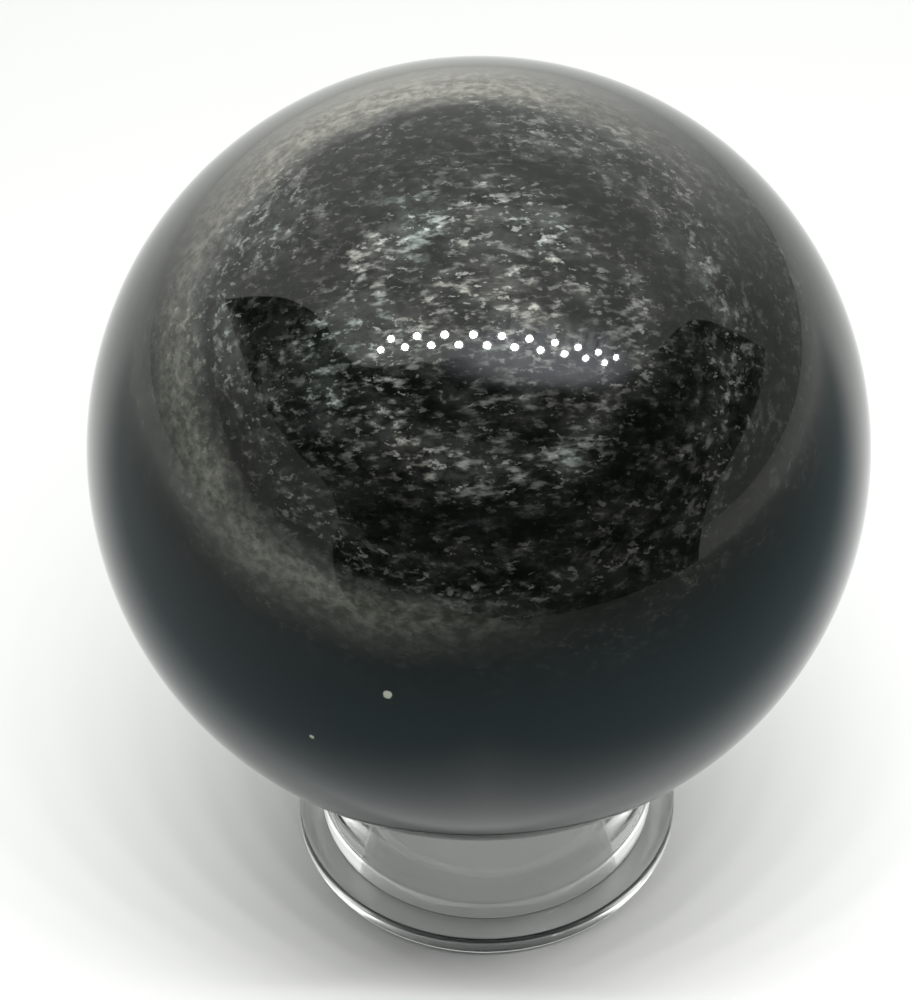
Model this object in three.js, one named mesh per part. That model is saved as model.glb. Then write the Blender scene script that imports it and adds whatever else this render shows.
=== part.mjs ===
// A polished obsidian sphere resting in a clear ring stand. Millimetres, +Z up.
// The origin is the centre of the stand's foot, on the surface that it stands on.
// Both pieces are turned shapes on the same upright axis.
import * as THREE from "three";

// Sphere.
const ballRadius = 35;

// Ring stand: a flat foot, an upright wall and a conical seat around an open bore.
const standHeight = 17.8;
const wallRadius = 17.5;
const boreRadius = 13.9;
const footRadius = 20.1;
const footHeight = 2.8;
const footEdgeLean = 0.2; // how far the edge of the foot leans in by its top
const seatRadius = 15.0; // the circle on which the sphere rests
const seatRimRadius = 16.1; // the outer edge of the conical seat
const seatGap = 0.1; // clearance that keeps the two solids apart

// Corner roundings of the stand.
const footBottomRounding = 1.0;
const outerTopRounding = 0.4; // the outer top edges of the foot and the wall
const wallFootRounding = 0.15; // in the corner between the wall and the foot
const edgeRounding = 0.3;

// The seat cone is tangent to the sphere at the seat circle.
const seatAngle = Math.asin(seatRadius / (ballRadius + seatGap));
const seatHeight = standHeight - (seatRimRadius - seatRadius) * Math.tan(seatAngle);
const seatBottomHeight = seatHeight - (seatRadius - boreRadius) * Math.tan(seatAngle);
const ballCentreHeight = seatHeight + (ballRadius + seatGap) * Math.cos(seatAngle);

// Mesh fineness.
const ballSegments = 64;
const ballRings = 36;
const standSegments = 72;
const roundingSteps = 3;

// Points of a closed outline whose corners [radius, height, rounding] become arcs.
function roundedOutline(corners) {
  const points = [];
  corners.forEach(([r, z, rounding], i) => {
    const corner = new THREE.Vector2(r, z);
    const before = new THREE.Vector2(...corners.at(i - 1));
    const after = new THREE.Vector2(...corners[(i + 1) % corners.length]);
    const toBefore = before.sub(corner).normalize();
    const toAfter = after.sub(corner).normalize();
    const halfAngle = Math.acos(toBefore.dot(toAfter)) / 2;
    const setback = rounding / Math.tan(halfAngle);
    const start = corner.clone().addScaledVector(toBefore, setback);
    const end = corner.clone().addScaledVector(toAfter, setback);
    const inward = toBefore.add(toAfter).normalize();
    const centre = corner.clone().addScaledVector(inward, rounding / Math.sin(halfAngle));
    const startAngle = start.sub(centre).angle();
    const turn = end.sub(centre).angle() - startAngle;
    const shortTurn = turn - 2 * Math.PI * Math.round(turn / (2 * Math.PI));
    for (let step = 0; step <= roundingSteps; step++) {
      const angle = startAngle + (shortTurn * step) / roundingSteps;
      const arm = new THREE.Vector2(Math.cos(angle), Math.sin(angle));
      points.push(centre.clone().addScaledVector(arm, rounding));
    }
  });
  return points;
}

function obsidianBall() {
  const geometry = new THREE.SphereGeometry(ballRadius, ballSegments, ballRings);
  geometry.rotateX(Math.PI / 2); // brings its poles onto the upright axis
  const material = new THREE.MeshStandardMaterial({ color: 0x33383a, roughness: 0.08, metalness: 0 });
  const ball = new THREE.Mesh(geometry, material);
  ball.name = "obsidian_ball";
  ball.position.z = ballCentreHeight;
  return ball;
}

function ringStand() {
  const outline = roundedOutline([
    [boreRadius, 0, edgeRounding],
    [footRadius, 0, footBottomRounding],
    [footRadius - footEdgeLean, footHeight, outerTopRounding],
    [wallRadius, footHeight, wallFootRounding],
    [wallRadius, standHeight, outerTopRounding],
    [seatRimRadius, standHeight, edgeRounding],
    [boreRadius, seatBottomHeight, edgeRounding],
  ]);
  outline.push(outline[0].clone()); // closes the outline on itself
  const geometry = new THREE.LatheGeometry(outline, standSegments);
  geometry.rotateX(Math.PI / 2); // stands its axis upright
  const material = new THREE.MeshStandardMaterial({ color: 0xe6ebe8, roughness: 0.03, metalness: 0 });
  material.transparent = true;
  material.opacity = 0.35;
  const stand = new THREE.Mesh(geometry, material);
  stand.name = "ring_stand";
  return stand;
}

const crystalBall = new THREE.Group();
crystalBall.add(obsidianBall(), ringStand());

export default crystalBall;
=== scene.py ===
"""Looks for the crystal ball: a polished sheen obsidian sphere resting in a clear ring stand.

Everything is in metres in the row frame: +Z up, the origin under the middle of the stand. The
pattern in the stone is built in axes of its own, in ball radii from the ball's centre, with Z along
the normal of the stone's sheen layers.
"""

import math

import bmesh
import bpy
from mathutils import Matrix, Quaternion, Vector
from mathutils.geometry import delaunay_2d_cdt


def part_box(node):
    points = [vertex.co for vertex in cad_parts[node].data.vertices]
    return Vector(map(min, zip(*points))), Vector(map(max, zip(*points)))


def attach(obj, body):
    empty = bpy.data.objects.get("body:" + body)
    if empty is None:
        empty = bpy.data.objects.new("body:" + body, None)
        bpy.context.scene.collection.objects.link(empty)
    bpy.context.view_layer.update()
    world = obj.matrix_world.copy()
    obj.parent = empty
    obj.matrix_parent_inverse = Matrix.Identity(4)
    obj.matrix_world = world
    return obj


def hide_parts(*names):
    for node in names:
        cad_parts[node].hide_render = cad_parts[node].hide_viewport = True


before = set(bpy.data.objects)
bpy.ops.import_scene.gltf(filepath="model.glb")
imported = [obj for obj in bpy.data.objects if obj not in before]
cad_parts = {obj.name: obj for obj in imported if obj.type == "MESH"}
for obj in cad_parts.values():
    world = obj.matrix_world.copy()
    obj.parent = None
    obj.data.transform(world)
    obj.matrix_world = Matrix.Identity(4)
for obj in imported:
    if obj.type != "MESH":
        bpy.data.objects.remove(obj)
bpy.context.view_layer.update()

# ---------------------------------------------------------------- sizes, in metres
MM = 0.001
ball_low, ball_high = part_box("obsidian_ball")
BALL_RADIUS = (ball_high.z - ball_low.z) / 2
BALL_CENTRE = (ball_low + ball_high) / 2
STAND_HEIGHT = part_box("ring_stand")[1].z

WALL_RADIUS = 17.5 * MM
BORE_RADIUS = 13.9 * MM
FOOT_RADIUS = 20.1 * MM
FOOT_HEIGHT = 2.8 * MM
FOOT_EDGE_LEAN = 0.2 * MM
SEAT_RIM_RADIUS = 16.1 * MM
SEAT_RADIUS = 15.0 * MM
SEAT_GAP = 0.1 * MM

FOOT_BOTTOM_ROUNDING = 1.0 * MM
OUTER_TOP_ROUNDING = 0.4 * MM
WALL_FOOT_ROUNDING = 0.15 * MM
EDGE_ROUNDING = 0.3 * MM

# ---------------------------------------------------------------- viewpoint
CAMERA_DISTANCE = 5.0 * BALL_RADIUS
CAMERA_ELEVATION = 39.5  # degrees above the horizon
CAMERA_ROLL = -1.4  # degrees
CAMERA_LENS = 69.2  # mm
CAMERA_SENSOR = 36  # mm
BALL_OFF_AXIS = (0.64, 1.48)  # degrees from the picture's centre right and up to the ball's
SHEEN_AXIS_TILT = 14.0  # degrees that the sheen layers' normal points above the line to the camera

# The viewing frame: right, up and towards the camera, from the ball's centre.
elevation = math.radians(CAMERA_ELEVATION)
VIEW_RIGHT = Vector((1, 0, 0))
VIEW_UP = Vector((0, math.sin(elevation), math.cos(elevation)))
VIEW_BACK = Vector((0, -math.cos(elevation), math.sin(elevation)))


def into_scene(name, data):
    piece = bpy.data.objects.new(name, data)
    bpy.context.scene.collection.objects.link(piece)
    return piece


def shade_smooth(mesh):
    mesh.polygons.foreach_set("use_smooth", [True] * len(mesh.polygons))


def square_mesh(name, reach):
    """A flat square that reaches that far each way from its middle."""
    mesh = bpy.data.meshes.new(name)
    corners = [(-reach, -reach, 0), (reach, -reach, 0), (reach, reach, 0), (-reach, reach, 0)]
    mesh.from_pydata(corners, [], [(0, 1, 2, 3)])
    return mesh


# ---------------------------------------------------------------- shader graph helpers
def grey(level):
    return (level, level, level, 1.0)


class Graph:
    """Short calls that add nodes to a material's tree and link them."""

    def __init__(self, tree):
        self.tree = tree

    def node(self, kind, inputs=None, **settings):
        made = self.tree.nodes.new(kind)
        for key, value in settings.items():
            setattr(made, key, value)
        for key, value in (inputs or {}).items():
            self.put(made.inputs[key], value)
        return made

    def put(self, socket, value):
        if isinstance(value, bpy.types.NodeSocket):
            self.tree.links.new(value, socket)
        else:
            socket.default_value = value

    def math(self, operation, a, b=0.0, c=0.0):
        return self.node("ShaderNodeMath", {0: a, 1: b, 2: c}, operation=operation).outputs[0]

    def add(self, first, *others):
        for other in others:
            first = self.math("ADD", first, other)
        return first

    def times(self, first, *others):
        for other in others:
            first = self.math("MULTIPLY", first, other)
        return first

    def smooth(self, value, low, high, to_low=0.0, to_high=1.0):
        """A soft step: to_low where the value is at low, and to_high where it is at high."""
        inputs = {
            "Value": value,
            "From Min": low,
            "From Max": high,
            "To Min": to_low,
            "To Max": to_high,
        }
        made = self.node("ShaderNodeMapRange", inputs, interpolation_type="SMOOTHSTEP")
        return made.outputs["Result"]

    def blend(self, share, a, b):
        """Number a where share is 0 and number b where it is 1."""
        made = self.node("ShaderNodeMix", {0: share, 2: a, 3: b}, data_type="FLOAT")
        return made.outputs[0]

    def mix(self, share, a, b):
        """Colour a where share is 0 and colour b where it is 1."""
        made = self.node("ShaderNodeMix", {0: share, 6: a, 7: b}, data_type="RGBA")
        return made.outputs[2]

    def object_place(self):
        return self.node("ShaderNodeTexCoord").outputs["Object"]

    def coordinates(self, vector):
        return list(self.node("ShaderNodeSeparateXYZ", {0: vector}).outputs)

    def square_from_axis(self, place):
        """The square of the distance from the Z axis."""
        return self.add(self.times(place[0], place[0]), self.times(place[1], place[1]))

    def scaled(self, place, scale):
        """The three coordinates, each times its own scale, as a vector."""
        axes = {i: self.times(place[i], scale[i]) for i in range(3)}
        return self.node("ShaderNodeCombineXYZ", axes).outputs[0]

    def noise(self, vector, detail=2.0, roughness=0.5, scale=1.0):
        """Fractal noise about 0.5."""
        inputs = {"Vector": vector, "Scale": scale, "Detail": detail, "Roughness": roughness}
        return self.node("ShaderNodeTexNoise", inputs).outputs["Fac"]

    def ramp(self, value, stops):
        """A soft curve through the stops (value, level)."""
        made = self.node("ShaderNodeValToRGB", {"Fac": value})
        made.color_ramp.interpolation = "EASE"
        points = made.color_ramp.elements
        points[0].position, points[0].color = stops[0][0], grey(stops[0][1])
        points[1].position, points[1].color = stops[-1][0], grey(stops[-1][1])
        for place, level in stops[1:-1]:
            points.new(place).color = grey(level)
        return made.outputs["Color"]


def new_material(name):
    material = bpy.data.materials.new(name)
    material.use_nodes = True
    return material, Graph(material.node_tree), material.node_tree.nodes["Principled BSDF"]


# ---------------------------------------------------------------- the stone
MIDDLE_BLACK = (0.0008, 0.0014, 0.0009, 1)
OUTER_TEAL = (0.003, 0.0072, 0.007, 1)
FLAKE_SILVER = (1.0, 1.0, 0.91, 1)
FLAKE_TEAL = (0.88, 1.0, 0.93, 1)
# The band's painted sheen: cream towards the light side, greener away from it.
PAINTED_SHEEN_CREAM = (1.0, 0.95, 0.83, 1)
PAINTED_SHEEN_GREEN = (0.96, 1.0, 0.83, 1)
STONE_ROUGHNESS = 0.03
STONE_IOR = 1.47

# The pattern lies in rings round the sheen axis. A ring's number is its angle from the axis, with 90
# degrees as 1. These are the strengths over the rings: (ring, level).
FLAKE_LEVELS = [
    (0.0, 1.0), (0.09, 0.95), (0.15, 0.8), (0.2, 0.85), (0.26, 0.22),
    (0.33, 0.5), (0.39, 0.35), (0.46, 0.12), (0.6, 0.01),
]
# The band is the stone's sheen, painted into its colour.
BAND_LEVELS = [
    (0.37, 0.0), (0.395, 0.5), (0.425, 1.1), (0.49, 1.0),
    (0.55, 0.7), (0.61, 0.5), (0.7, 0.7), (1.0, 0.5),
]
# Between these rings one look gives way to the next.
STREAKS_CURVE = (0.2, 0.42)  # from level streaks to streaks along the rings
COLOUR_TO_BAND = (0.34, 0.44)
SPECKLE_ENDS = (0.43, 0.54)
BLACK_TO_TEAL = (0.42, 0.64)

# How far the rings are from true circles, in ring numbers.
WIDENING = 0.08
RAISING = 0.055
RAISED_RINGS = (0.22, 0.42)
WANDER = 0.08
FRAY = 0.03

# How fine the textures are: cells in a ball radius along the layers' X, Y and Z. Where the name says
# ring, the third number counts cells across the rings instead.
LEVEL_STREAKS = (22, 50, 50)
SPECKS = (38, 62, 62)
CLOUDS = (9, 15, 15)
RING_STREAKS = (28, 28, 60)
RING_SPECKLE = (36, 36, 60)
RING_CLUSTERS = (4.5, 4.5, 11)

# Strengths: 0 is the deep stone and 1 is the full colour of a flake or of the band.
STREAK_STRENGTH = 0.23
STREAK_CONTRAST = 1.4
SPECK_STRENGTH = 0.2
CLOUD_STRENGTH = 0.026
# The next three strengths are painted sheen: towards the first light side, down the second side, and
# all round.
PAINTED_LIGHT_STRENGTH = 0.13
SECOND_PAINTED_LIGHT_STRENGTH = 0.05
ALL_ROUND_STRENGTH = 0.0015
CHIP_STRENGTH = 0.4

# Sides of the sheen axis, in degrees clockwise from the top. Light is painted into the stone's colour
# towards them: the painted sheen is brightest on the first side.
PAINTED_LIGHT_SIDE = -13  # the band is brightest here
PAINTED_LIGHT_NARROWNESS = 8.0
SECOND_PAINTED_LIGHT_SIDE = -110  # and it stays in sight down this side
# Nicks in the polish: (place, size) in ball radii.
CHIPS = [((-0.209, -0.71, 0.672), 0.012), ((-0.393, -0.781, 0.486), 0.007)]


def stone_places(g):
    """The point in the layers' own axes, in ball radii; and its angle from their normal, 0 to 1."""
    tilt = -math.radians(90 - CAMERA_ELEVATION - SHEEN_AXIS_TILT)
    inputs = {"Vector": g.object_place(), "Angle": tilt}
    turned_place = g.node("ShaderNodeVectorRotate", inputs, rotation_type="X_AXIS").outputs[0]
    inputs = {0: turned_place, "Scale": 1 / BALL_RADIUS}
    unit = g.node("ShaderNodeVectorMath", inputs, operation="SCALE").outputs[0]
    axes = g.coordinates(unit)
    height = g.math("MINIMUM", g.math("ABSOLUTE", axes[2]), 1.0)
    polar = g.math("DIVIDE", g.math("ARCCOSINE", height), math.pi / 2)
    return unit, axes, polar


def towards_side(g, axes, degrees):
    """0 to 1: how far the point lies towards that side of the sheen axis."""
    side = math.radians(degrees)
    along = g.add(g.times(axes[1], math.cos(side)), g.times(axes[0], math.sin(side)))
    square = g.add(g.square_from_axis(axes), 0.004)  # the small number keeps the axis itself smooth
    cosine = g.math("DIVIDE", along, g.math("SQRT", square))
    return g.math("MULTIPLY_ADD", cosine, 0.5, 0.5)


def streaks(g, place, scale, low=0.47, high=0.72):
    """Fine broken streaks of every size, drawn out along the axes with the smaller scales."""
    return g.smooth(g.noise(g.scaled(place, scale), detail=3, roughness=0.62), low, high)


def uneven_ring(g, unit, axes, polar, fray):
    """The point's ring: rings wander and fray, are wider than tall, and lie higher further out."""
    wander = g.math("SUBTRACT", g.noise(unit, detail=3, scale=1.9), 0.5)
    widened = g.times(axes[0], axes[0], -WIDENING)
    raised = g.times(axes[1], g.smooth(polar, *RAISED_RINGS), -RAISING)
    return g.add(polar, widened, raised, g.times(wander, WANDER), g.times(fray, FRAY))


def flakes(g, axes, ring_place, polar, painted_light_share):
    """Streaks, specks and clouds in clusters, their sheen painted brighter towards the light side. The
    streaks follow the rings towards the band.
    """
    level_streaks = streaks(g, axes, LEVEL_STREAKS)
    ring_streaks = streaks(g, ring_place, RING_STREAKS)
    streak = g.blend(g.smooth(polar, *STREAKS_CURVE), level_streaks, ring_streaks)
    cloud_noise = g.noise(g.scaled(axes, CLOUDS), detail=5, roughness=0.7)
    glitter = g.add(
        g.times(g.math("POWER", streak, STREAK_CONTRAST), STREAK_STRENGTH),
        g.times(streaks(g, axes, SPECKS, low=0.58, high=0.66), SPECK_STRENGTH),
        g.times(g.smooth(cloud_noise, 0.36, 0.7, 0.1, 2.0), CLOUD_STRENGTH),
    )
    cluster_noise = g.noise(g.scaled(ring_place, RING_CLUSTERS), detail=4)
    clusters = g.smooth(cluster_noise, 0.32, 0.68, 0.3, 1.6)
    # Painted light: the flakes reach full brightness towards the painted light side.
    flakes_painted_light = g.smooth(painted_light_share, 0.1, 0.95, 0.42, 1.0)
    return g.times(g.ramp(ring_place[2], FLAKE_LEVELS), clusters, flakes_painted_light, glitter)


def band(g, ring_place, painted_light_share, second_painted_light_share):
    """The band of painted sheen round the flakes, speckled along its inner edge, brightest towards the
    painted light side.
    """
    ring = ring_place[2]
    inner_edge = g.smooth(ring, 0.52, 0.42)
    # Painted sheen: strongest towards the first light side, present down the second side near the
    # inner edge, and faint all round.
    strength = g.add(
        g.times(g.math("POWER", painted_light_share, PAINTED_LIGHT_NARROWNESS), PAINTED_LIGHT_STRENGTH),
        g.times(g.smooth(second_painted_light_share, 0.45, 0.98), inner_edge, SECOND_PAINTED_LIGHT_STRENGTH),
        ALL_ROUND_STRENGTH,
    )
    speckle = g.add(streaks(g, ring_place, RING_SPECKLE, low=0.35, high=0.7), 0.55)
    speckled = g.blend(g.smooth(ring, *SPECKLE_ENDS), speckle, 1.0)
    return g.times(g.ramp(ring, BAND_LEVELS), strength, speckled)


def chip(g, unit, fray, place, size):
    """A small pale nick in the polish, with a frayed edge."""
    inputs = {0: unit, 1: Vector(place)}
    away = g.node("ShaderNodeVectorMath", inputs, operation="DISTANCE").outputs["Value"]
    frayed = g.add(away, g.times(fray, size * 2.5))
    return g.times(g.smooth(frayed, size, size * 0.6), CHIP_STRENGTH)


def obsidian_material():
    material, g, shader = new_material("sheen_obsidian")
    unit, axes, polar = stone_places(g)
    # Painted light: how far each point lies towards the sides where the sheen is painted bright.
    painted_light_share = towards_side(g, axes, PAINTED_LIGHT_SIDE)
    second_painted_light_share = towards_side(g, axes, SECOND_PAINTED_LIGHT_SIDE)
    fray = g.math("SUBTRACT", g.noise(unit, detail=5, roughness=0.65, scale=14), 0.5)
    ring = uneven_ring(g, unit, axes, polar, fray)
    ring_place = [axes[0], axes[1], ring]

    chips = [chip(g, unit, fray, place, size) for place, size in CHIPS]
    brightness = g.add(
        flakes(g, axes, ring_place, polar, painted_light_share),
        band(g, ring_place, painted_light_share, second_painted_light_share),
        *chips,
    )

    deep = g.mix(g.smooth(ring, *BLACK_TO_TEAL), MIDDLE_BLACK, OUTER_TEAL)
    teal_patches = g.smooth(g.noise(unit, scale=4.5), 0.42, 0.66)
    flake_colour = g.mix(teal_patches, FLAKE_SILVER, FLAKE_TEAL)
    # Painted light: the sheen turns from green to cream towards the painted light side.
    painted_sheen_colour = g.mix(g.smooth(painted_light_share, 0.5, 0.9), PAINTED_SHEEN_GREEN, PAINTED_SHEEN_CREAM)
    sheen = g.mix(g.smooth(ring, *COLOUR_TO_BAND), flake_colour, painted_sheen_colour)
    g.put(shader.inputs["Base Color"], g.mix(brightness, deep, sheen))
    shader.inputs["Roughness"].default_value = STONE_ROUGHNESS
    shader.inputs["IOR"].default_value = STONE_IOR
    return material


def make_ball():
    mesh = bpy.data.meshes.new("sheen_obsidian_ball")
    cells = bmesh.new()
    bmesh.ops.create_uvsphere(cells, u_segments=192, v_segments=96, radius=BALL_RADIUS)
    cells.to_mesh(mesh)
    cells.free()
    shade_smooth(mesh)
    ball = into_scene("sheen_obsidian_ball", mesh)
    ball.location = BALL_CENTRE
    mesh.materials.append(obsidian_material())
    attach(ball, "ball")
    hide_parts("obsidian_ball")


# ---------------------------------------------------------------- the clear ring
CLEAR_COLOUR = (0.985, 0.99, 0.985, 1)
CLEAR_IOR = 1.49


def rounded(corners, steps=8):
    """A closed outline in which each corner (radius, height, rounding) becomes an arc."""
    outline = []
    for i, (r, z, rounding) in enumerate(corners):
        corner = Vector((r, z))
        before = (Vector(corners[i - 1][:2]) - corner).normalized()
        after = (Vector(corners[(i + 1) % len(corners)][:2]) - corner).normalized()
        half = before.angle(after) / 2
        centre = corner + (before + after).normalized() * (rounding / math.sin(half))
        start = corner + before * (rounding / math.tan(half)) - centre
        end = corner + after * (rounding / math.tan(half)) - centre
        turn = start.angle_signed(end)
        for step in range(steps + 1):
            outline.append(centre + Matrix.Rotation(-turn * step / steps, 2) @ start)
    return outline


def turned(name, outline, segments=256):
    """A closed ring: the outline turned about Z."""
    verts = []
    for step in range(segments):
        angle = 2 * math.pi * step / segments
        verts += [(p.x * math.cos(angle), p.x * math.sin(angle), p.y) for p in outline]
    count = len(outline)
    faces = []
    for step in range(segments):
        here = step * count
        there = (step + 1) % segments * count
        for i in range(count):
            after = (i + 1) % count
            faces.append((here + i, there + i, there + after, here + after))
    mesh = bpy.data.meshes.new(name)
    mesh.from_pydata(verts, [], faces)
    shade_smooth(mesh)
    return mesh


def clear_material():
    material, _, shader = new_material("clear_stand")
    shader.inputs["Base Color"].default_value = CLEAR_COLOUR
    shader.inputs["Roughness"].default_value = 0.0
    shader.inputs["IOR"].default_value = CLEAR_IOR
    shader.inputs["Transmission Weight"].default_value = 1.0
    return material


def make_stand():
    seat_angle = math.asin(SEAT_RADIUS / (BALL_RADIUS + SEAT_GAP))
    seat_bottom = STAND_HEIGHT - (SEAT_RIM_RADIUS - BORE_RADIUS) * math.tan(seat_angle)
    outline = rounded([
        (BORE_RADIUS, 0, EDGE_ROUNDING),
        (FOOT_RADIUS, 0, FOOT_BOTTOM_ROUNDING),
        (FOOT_RADIUS - FOOT_EDGE_LEAN, FOOT_HEIGHT, OUTER_TOP_ROUNDING),
        (WALL_RADIUS, FOOT_HEIGHT, WALL_FOOT_ROUNDING),
        (WALL_RADIUS, STAND_HEIGHT, OUTER_TOP_ROUNDING),
        (SEAT_RIM_RADIUS, STAND_HEIGHT, EDGE_ROUNDING),
        (BORE_RADIUS, seat_bottom, EDGE_ROUNDING),
    ])
    stand = into_scene("clear_ring_stand", turned("clear_ring_stand", outline))
    stand.data.materials.append(clear_material())
    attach(stand, "stand")
    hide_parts("ring_stand")


# ---------------------------------------------------------------- floor, lights and camera
FLOOR_REACH = 3.0
FLOOR_DROP = 0.05 * MM
FLOOR_WHITE = (0.87, 0.87, 0.865, 1)
FLOOR_ROUGHNESS = 0.6
FLOOR_SPECULAR = 0.2

LAMP_COUNT = 20
LAMP_PITCH = 9.8 * MM
LAMP_ZIGZAG = 4 * MM
LAMP_SIZE = 5 * MM
LAMP_ROW_CENTRE = Vector((23, -70, 155)) * MM  # from the ball's centre
LAMP_ROW_TURN = -3.4  # degrees about Z
LAMP_POWER = 0.018  # watts each

GLOW_CENTRE = Vector((60, -82, 158)) * MM  # from the ball's centre
GLOW_SIZE = (240 * MM, 84 * MM)
GLOW_STRENGTH = 3.0
GLOW_COLOUR = (0.89, 0.93, 1.0, 1)
GLOW_FALLOFF = 2.2
GLOW_FOLDS = (22, 0.8, 0)  # how fine the cloth's folds are along X and Y
GLOW_FOLDED = (-0.1, 0.7)  # they come in between these places along Y

PANEL_SIZE = 1.6
PANEL_HEIGHT = 1.0
PANEL_POWER = 4.8  # watts

# The tent glows most at its back and top.
TENT_COLOUR = (0.975, 1, 0.97, 1)
TENT_BRIGHT_SIDE = Vector((-0.1, 0.55, 0.83)).normalized()
TENT_SPREAD = (0.2, 0.68)  # cosines from that side between which the glow rises
TENT_BRIGHTNESS = (0.4, 1.05)

# The floor in front of and beside the ball runs out of the light: the ball mirrors it darker than
# the camera sees it. The shade's edge is a V whose arms open towards the back.
SHADE_REACH = 1.0
SHADE_EDGE = (-8 * MM, -90 * MM)  # how far in front of the ball's axis the shade begins and is full
SHADE_ARMS = 0.8  # metres back for each metre sideways
SHADE_TINT = (0.26, 0.31, 0.33, 1)
SHADE_LEFT = (-0.2, -0.02)  # it is weaker on the left: it changes between these places
SHADE_LEFT_STRENGTH = 0.7
SHADE_END = (0.6, 0.12)  # how far from the Z axis it has faded out, and is still full
SHADE_LIFT = 0.2 * MM

ROOM_BRIGHTNESS = 0.03
OPENING_DISTANCE = 0.45
OPENING_GRID = 20  # points of the curved sheet for each unit of (u, v)
# The outline of the tent's opening as the ball sees it. A point (u, v) lies to the right of and
# above the viewing line; its distance from (0, 0) is the tangent of half the angle off that line.
OPENING = [
    (0.73, -0.02), (0.9, 0.18), (0.95, 0.31), (0.95, 0.31), (0.84, 0.33), (0.7, 0.36),
    (0.58, 0.35), (0.42, 0.2), (0.27, 0.14), (0.12, 0.19), (0.0, 0.22), (-0.15, 0.2),
    (-0.3, 0.2), (-0.38, 0.34), (-0.5, 0.43), (-0.64, 0.47), (-0.79, 0.5), (-0.79, 0.5),
    (-0.64, 0.25), (-0.5, 0.05), (-0.32, -0.11), (-0.38, -0.27), (-0.34, -0.39), (-0.22, -0.5),
    (-0.03, -0.53), (0.3, -0.46), (0.62, -0.47), (0.62, -0.47), (0.59, -0.17),
]


def make_floor():
    floor = into_scene("floor", square_mesh("floor", FLOOR_REACH))
    floor.location.z = -FLOOR_DROP
    material, _, shader = new_material("white_floor")
    shader.inputs["Base Color"].default_value = FLOOR_WHITE
    shader.inputs["Roughness"].default_value = FLOOR_ROUGHNESS
    shader.inputs["Specular IOR Level"].default_value = FLOOR_SPECULAR
    floor.data.materials.append(material)


def softened(outline, rounds=2):
    """The outline with its corners cut, over and over; a point listed twice stays a corner."""
    for _ in range(rounds):
        points = []
        for point, after in zip(outline, outline[1:] + outline[:1]):
            if point != after:
                points += [point.lerp(after, 0.25), point.lerp(after, 0.75)]
            else:
                points += [point, point]
        outline = points
    return [point for i, point in enumerate(outline) if point != outline[i - 1]]


def towards(u, v):
    """The direction of a point in the mirrored view."""
    square = u * u + v * v
    return (VIEW_RIGHT * 2 * u + VIEW_UP * 2 * v + VIEW_BACK * (1 - square)) / (1 + square)


def hidden_stage(sheet, only_mirrored):
    """A sheet that the ball mirrors and that the camera sees neither directly nor through the ring."""
    sheet.visible_camera = False
    sheet.visible_transmission = False
    sheet.visible_diffuse = not only_mirrored
    sheet.visible_shadow = not only_mirrored


def bare_material(name):
    """A material with nothing on its surface yet."""
    material, g, shader = new_material(name)
    g.tree.nodes.remove(shader)
    return material, g, g.tree.nodes["Material Output"].inputs["Surface"]


def make_opening():
    """The dim room in front of the tent: a curved sheet behind the camera."""
    outline = softened([Vector(point) for point in OPENING])
    edges = [(i, (i + 1) % len(outline)) for i in range(len(outline))]
    steps = [i / OPENING_GRID for i in range(-OPENING_GRID, OPENING_GRID + 1)]
    inner = [Vector((u, v)) for u in steps for v in steps]
    flat, _, faces, *_ = delaunay_2d_cdt(outline + inner, edges, [], 1, 0.0001)
    verts = [BALL_CENTRE + towards(*point) * OPENING_DISTANCE for point in flat]
    mesh = bpy.data.meshes.new("tent_opening")
    mesh.from_pydata(verts, [], faces)
    material, g, surface = bare_material("dim_room")
    glow = g.node("ShaderNodeEmission", {"Strength": ROOM_BRIGHTNESS})
    g.put(surface, glow.outputs[0])
    mesh.materials.append(material)
    hidden_stage(into_scene("tent_opening", mesh), only_mirrored=False)


def make_glow():
    """The patch of tent roof that the lamps light up most, with the folds of its cloth."""
    material, g, surface = bare_material("lit_cloth")
    place = g.coordinates(g.object_place())
    share = g.math("POWER", g.smooth(g.square_from_axis(place), 1.0, 0.0), GLOW_FALLOFF)
    folds = g.smooth(g.noise(g.scaled(place, GLOW_FOLDS)), 0.35, 0.65, 0.1, 1.9)
    ripple = g.blend(g.smooth(place[1], *GLOW_FOLDED), 1.0, folds)
    glow = g.node("ShaderNodeEmission", {"Color": GLOW_COLOUR, "Strength": GLOW_STRENGTH})
    clear = g.node("ShaderNodeBsdfTransparent")
    inputs = {0: g.times(share, ripple), 1: clear.outputs[0], 2: glow.outputs[0]}
    g.put(surface, g.node("ShaderNodeMixShader", inputs).outputs[0])
    sheet = into_scene("lit_cloth", square_mesh("lit_cloth", 1))
    sheet.data.materials.append(material)
    sheet.location = BALL_CENTRE + GLOW_CENTRE
    sheet.scale = (GLOW_SIZE[0] / 2, GLOW_SIZE[1] / 2, 1)
    hidden_stage(sheet, only_mirrored=True)


def make_floor_shade():
    """A soft tint over the floor that only mirrors see."""
    material, g, surface = bare_material("floor_shade")
    place = g.coordinates(g.object_place())
    forward = g.math("MULTIPLY_ADD", g.math("ABSOLUTE", place[0]), -SHADE_ARMS, place[1])
    strength = g.times(
        g.smooth(forward, *SHADE_EDGE),
        g.smooth(place[0], *SHADE_LEFT, SHADE_LEFT_STRENGTH, 1.0),
        g.smooth(g.math("SQRT", g.square_from_axis(place)), *SHADE_END),
    )
    tint = g.mix(strength, grey(1.0), SHADE_TINT)
    g.put(surface, g.node("ShaderNodeBsdfTransparent", {"Color": tint}).outputs[0])
    sheet = into_scene("floor_shade", square_mesh("floor_shade", SHADE_REACH))
    sheet.location.z = SHADE_LIFT
    sheet.data.materials.append(material)
    hidden_stage(sheet, only_mirrored=True)


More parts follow.
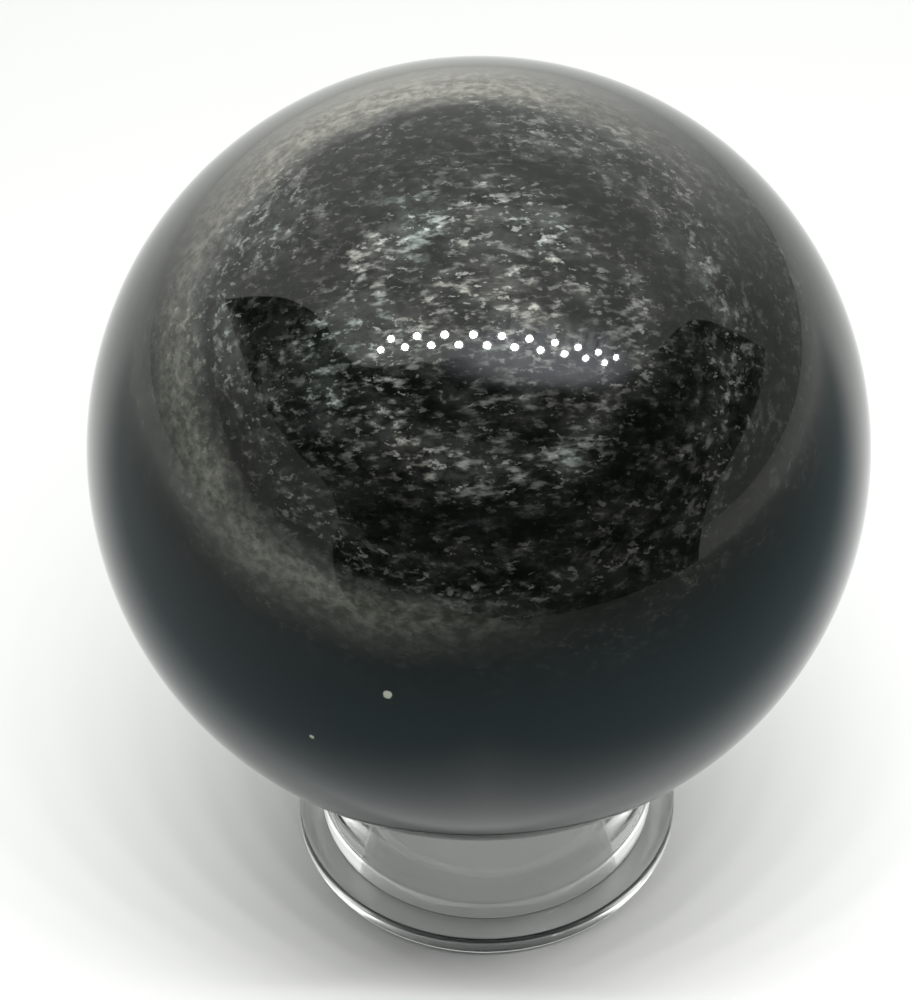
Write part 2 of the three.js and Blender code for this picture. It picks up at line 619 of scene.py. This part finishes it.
def make_lamps():
    """The row of small round lamps over the ball, in two staggered lines."""
    row_turn = Matrix.Rotation(math.radians(LAMP_ROW_TURN), 3, "Z")
    for i in range(LAMP_COUNT):
        light = bpy.data.lights.new(f"lamp_{i}", "AREA")
        light.shape = "DISK"
        light.size = LAMP_SIZE
        light.energy = LAMP_POWER
        lamp = into_scene(light.name, light)
        along = (i - (LAMP_COUNT - 1) / 2) * LAMP_PITCH
        stagger = LAMP_ZIGZAG if i % 2 else -LAMP_ZIGZAG
        lamp.location = BALL_CENTRE + LAMP_ROW_CENTRE + row_turn @ Vector((along, stagger, 0))


def make_panel():
    """A broad soft light that the ball doesn't mirror."""
    light = bpy.data.lights.new("soft_panel", "AREA")
    light.size = PANEL_SIZE
    light.energy = PANEL_POWER
    panel = into_scene(light.name, light)
    panel.location.z = PANEL_HEIGHT
    panel.visible_glossy = False


def make_world():
    world = bpy.data.worlds.new("white_tent")
    world.use_nodes = True
    g = Graph(world.node_tree)
    direction = g.node("ShaderNodeTexCoord").outputs["Generated"]
    inputs = {0: direction, 1: TENT_BRIGHT_SIDE}
    side = g.node("ShaderNodeVectorMath", inputs, operation="DOT_PRODUCT").outputs["Value"]
    background = g.tree.nodes["Background"]
    background.inputs["Color"].default_value = TENT_COLOUR
    g.put(background.inputs["Strength"], g.smooth(side, *TENT_SPREAD, *TENT_BRIGHTNESS))
    bpy.context.scene.world = world


def make_camera():
    data = bpy.data.cameras.new("camera")
    data.lens = CAMERA_LENS
    data.sensor_width = CAMERA_SENSOR
    data.clip_start = 1 * MM
    camera = into_scene("camera", data)
    camera.location = BALL_CENTRE + VIEW_BACK * CAMERA_DISTANCE
    roll = Quaternion((0, 0, 1), math.radians(CAMERA_ROLL))
    at_ball = (-VIEW_BACK).to_track_quat("-Z", "Y") @ roll
    right, up = (math.tan(math.radians(angle)) for angle in BALL_OFF_AXIS)
    ball_in_picture = Vector((right, up, -1)).normalized()
    camera.rotation_mode = "QUATERNION"
    camera.rotation_quaternion = at_ball @ ball_in_picture.rotation_difference(Vector((0, 0, -1)))
    bpy.context.scene.camera = camera


make_ball()
make_stand()
make_floor()
make_opening()
make_glow()
make_floor_shade()
make_lamps()
make_panel()
make_world()
make_camera()
bpy.context.scene.view_settings.view_transform = "Standard"

bpy.context.view_layer.update()
